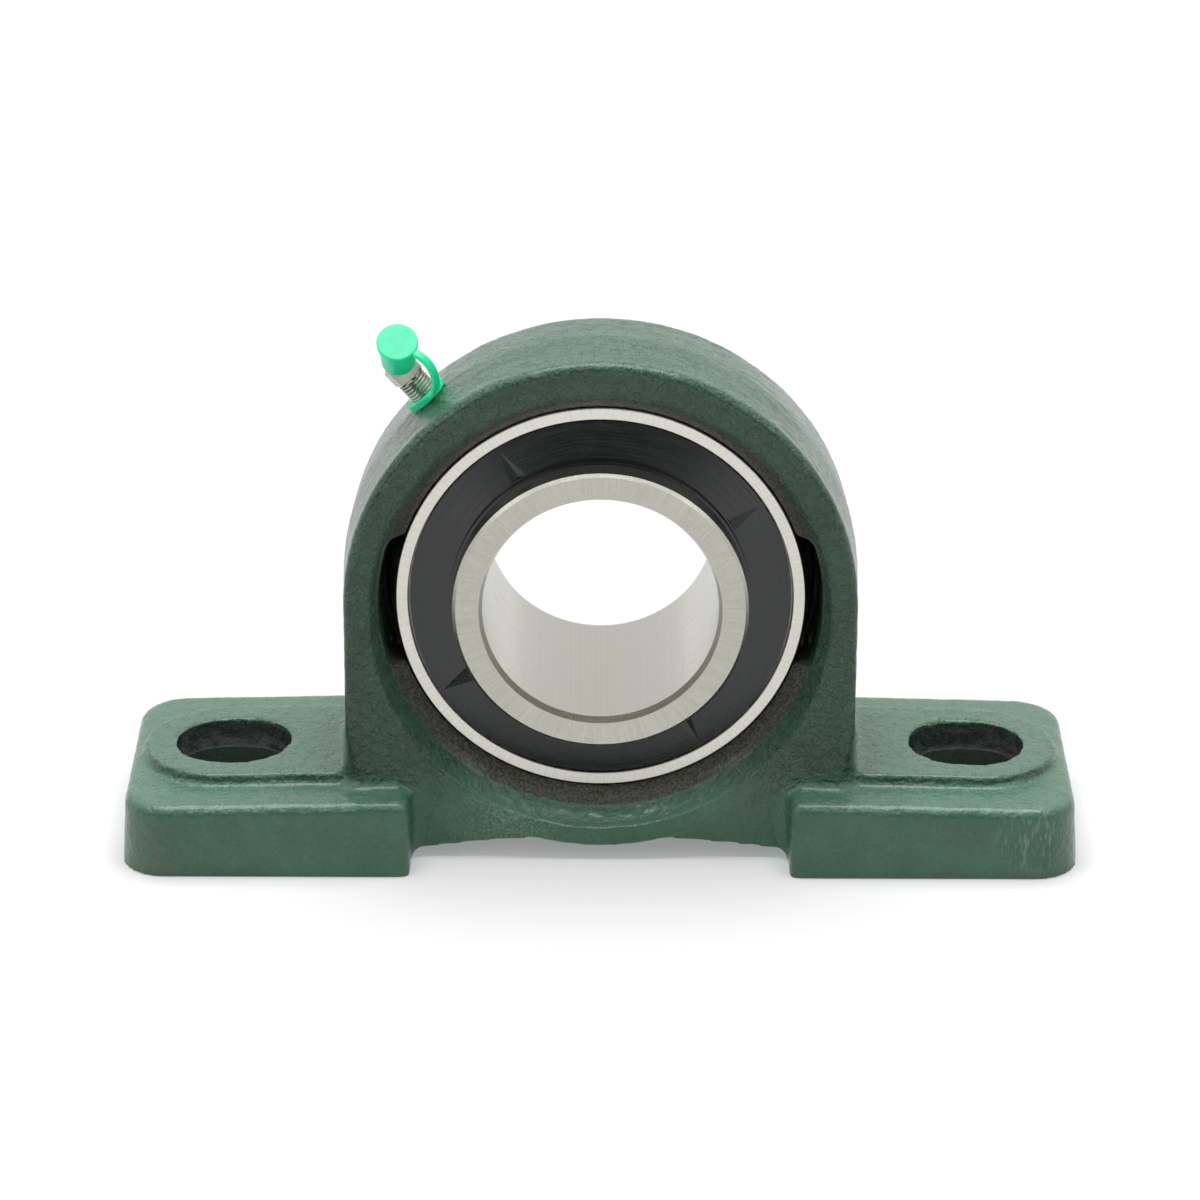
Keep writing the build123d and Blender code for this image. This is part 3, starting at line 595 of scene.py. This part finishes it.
skin = cast_skin("housing", skin_voxel)
mesh = skin.data
count = len(mesh.vertices)
points = np.empty(count * 3)
mesh.vertices.foreach_get("co", points)
points = points.reshape(-1, 3)
normals = np.empty(count * 3)
mesh.vertices.foreach_get("normal", normals)
normals = normals.reshape(-1, 3)
radius = np.hypot(points[:, 0], points[:, 2])
machined = (radius < machined_radius) & (np.abs(points[:, 1]) < machined_depth + 0.3 * MM)
under = points[:, 2] < base_z + 0.4 * MM
slot_run = np.maximum(np.abs(np.abs(points[:, 0]) - slot_x) - slot_reach, 0)
slot_gap = np.hypot(slot_run, points[:, 1]) - slot_half_width
at_slot = (np.abs(slot_gap) < 0.8 * MM) & (points[:, 2] < base_z + 20 * MM)
shift = np.zeros(count)
for index in range(count):
    if machined[index] or under[index]:
        continue
    point = Vector(points[index])
    shift[index] = swell_at(point)
    if at_slot[index]:
        shift[index] += 0.30 * MM * noise.noise(point * 300.0) - 0.15 * MM
points += normals * shift[:, None] + crisp_rim(points)
seat = machined & (radius > 40 * MM)
room = 1 + seat_room / np.maximum(radius, 1 * MM)
points[seat, 0] *= room[seat]
points[seat, 2] *= room[seat]
low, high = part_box("housing")
points = np.clip(points, np.array(low), np.array(high))
mesh.vertices.foreach_set("co", points.reshape(-1))
mesh.polygons.foreach_set("use_smooth", [True] * len(mesh.polygons))
mesh.update()
mesh.materials.clear()
mesh.materials.append(housing_paint)
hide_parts("housing")
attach(skin, "mount_body")


# ---- Outer ring: a copy whose four edges are only broken, so that its faces show at full width ----
ring_half = 12.0 * MM
ring_outside = 45.0 * MM
ring_lip = 40.8 * MM
ring_bevel = 0.5 * MM
ring_broken = 0.15 * MM


def broken_edges(node):
    """Copy a ring and pull the corners of its bevels out towards the edges they cut."""
    mesh = nodes[node].data.copy()
    mesh.transform(nodes[node].matrix_world)
    share = ring_broken / ring_bevel
    face_edge = (ring_outside**2 - ring_half**2) ** 0.5
    for vertex in mesh.vertices:
        radius = (vertex.co.x**2 + vertex.co.z**2) ** 0.5
        depth = ring_half - abs(vertex.co.y)
        moved = radius
        if depth < 0.02 * MM:
            if 0.1 * MM < face_edge - radius < 0.9 * MM:
                moved = face_edge - (face_edge - radius) * share
            elif 0.1 * MM < radius - ring_lip < 0.9 * MM:
                moved = ring_lip + (radius - ring_lip) * share
        elif depth < 0.9 * MM and abs(radius - ring_lip) < 0.05 * MM:
            vertex.co.y *= (ring_half - depth * share) / (ring_half - depth)
        elif depth < 0.9 * MM and radius > face_edge:
            vertex.co.y *= (ring_half - depth * share) / (ring_half - depth)
            moved = (ring_outside**2 - vertex.co.y**2) ** 0.5
        vertex.co.x *= moved / radius
        vertex.co.z *= moved / radius
    made = bpy.data.objects.new(f"{node}_edges", mesh)
    link(made)
    mesh.materials.clear()
    mesh.materials.append(ring_steel)
    return made


ring_shell = broken_edges("outer_ring")
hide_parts("outer_ring")
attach(ring_shell, "insert_body")


# ---- Strap and spring: plain copies of the CAD nodes, left where they stand ----
def yielding(node, material):
    """Copy a CAD node in its place with a material, and hide the node."""
    mesh = nodes[node].data.copy()
    mesh.transform(nodes[node].matrix_world)
    mesh.materials.clear()
    mesh.materials.append(material)
    made = bpy.data.objects.new(f"{node}_soft", mesh)
    link(made)
    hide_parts(node)
    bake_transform(made)


yielding("cap_strap", cap_plastic)

yielding("nipple_spring", cage_steel)

# ---- Thread of the grease nipple, where it shows between the strap and the hexagon ----
stem_turn = radians(131.5)
stem_axis = Vector((cos(stem_turn), 0, sin(stem_turn)))
stem_side = Vector((0, 1, 0))
stem_other = stem_axis.cross(stem_side)
thread_start = 1.45 * MM
thread_end = 5.35 * MM
thread_root = 3.02 * MM
thread_crest = 3.16 * MM
thread_pitch = 0.75 * MM
steps_round = 48
steps_pitch = 10


def thread_mesh():
    """A single-start screw ridge round the stem, as a band of rings whose radius follows the pitch."""
    rows = round((thread_end - thread_start) / thread_pitch * steps_pitch)
    corners = []
    faces = []
    for row in range(rows + 1):
        along = thread_start + (thread_end - thread_start) * row / rows
        for step in range(steps_round):
            turn = 2 * pi * step / steps_round
            phase = ((along - thread_start) / thread_pitch - step / steps_round) % 1.0
            rise = 1.0 - abs(2.0 * phase - 1.0)
            reach = thread_root + (thread_crest - thread_root) * rise
            outward = stem_side * cos(turn) + stem_other * sin(turn)
            corners.append(stem_axis * (arch_radius + along) + outward * reach)
    for row in range(rows):
        for step in range(steps_round):
            after = (step + 1) % steps_round
            first = row * steps_round
            second = first + steps_round
            faces.append((first + step, first + after, second + after, second + step))
    made = bpy.data.meshes.new("nipple_thread")
    made.from_pydata(corners, [], faces)
    made.update()
    return made


thread = bpy.data.objects.new("nipple_thread", thread_mesh())
link(thread)
thread.data.materials.append(zinc_plate)
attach(thread, "mount_body")
